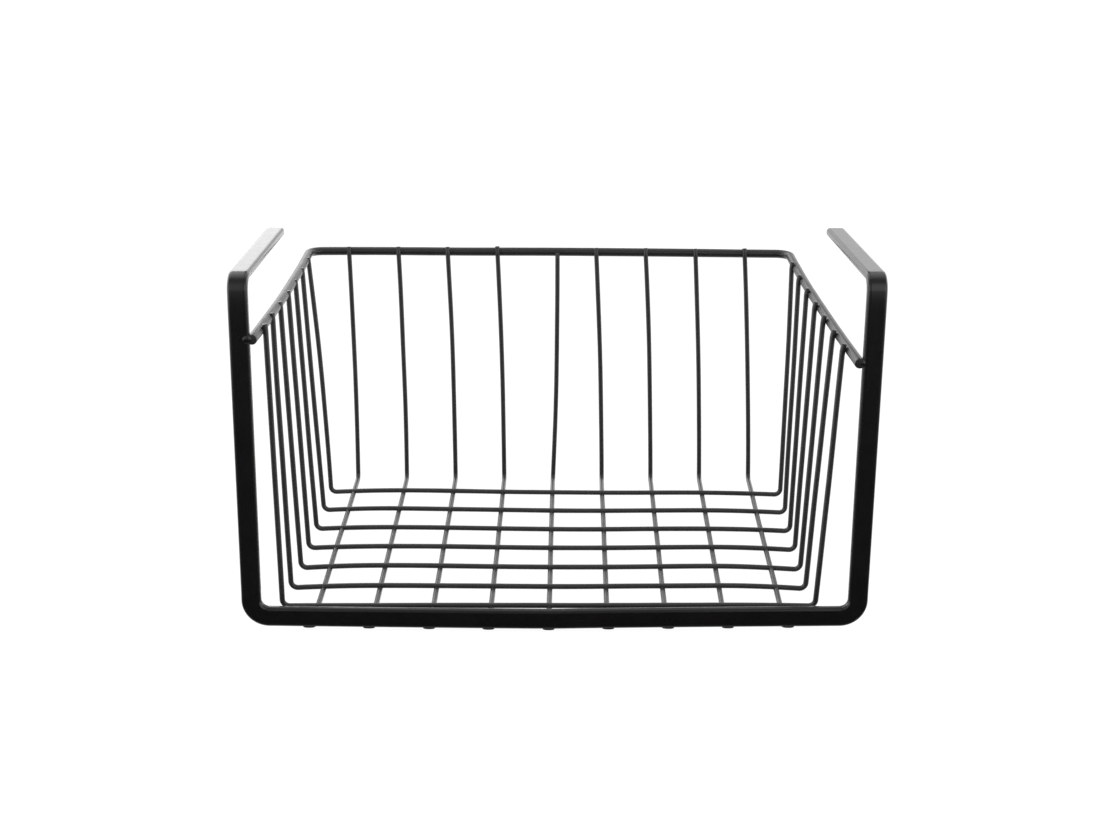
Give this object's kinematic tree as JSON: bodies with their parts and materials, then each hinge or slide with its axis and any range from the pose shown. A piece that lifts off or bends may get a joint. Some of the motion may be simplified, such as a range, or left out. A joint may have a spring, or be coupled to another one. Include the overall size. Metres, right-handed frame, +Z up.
{
  "type": "under-shelf wire basket",
  "caption": "Open-front wire basket that hangs under a shelf board: a bent flat-bar frame whose arms slide over the board, a heavy rim wire, and a welded grid of thin wires.",
  "frame": {"origin": "middle of the width and the depth, on the plane that the floor wires rest on", "axes": "+X to the right seen from the open front, +Y from the front frame to the rear wall, +Z up"},
  "size_m": [0.301, 0.2228, 0.1743],
  "materials": {
    "black_coat": "black powder coat on steel, semi-gloss, with a fine orange-peel surface"
  },
  "bodies": {
    "root": {"front_frame": "black_coat", "rim_wire": "black_coat", "cross_wire_1": "black_coat", "cross_wire_2": "black_coat", "cross_wire_3": "black_coat", "cross_wire_4": "black_coat", "cross_wire_5": "black_coat", "cross_wire_6": "black_coat", "cross_wire_7": "black_coat", "depth_wire_1": "black_coat", "depth_wire_2": "black_coat", "depth_wire_3": "black_coat", "depth_wire_4": "black_coat", "depth_wire_5": "black_coat", "depth_wire_6": "black_coat", "depth_wire_7": "black_coat", "depth_wire_8": "black_coat", "depth_wire_9": "black_coat"}
  },
  "joints": []
}
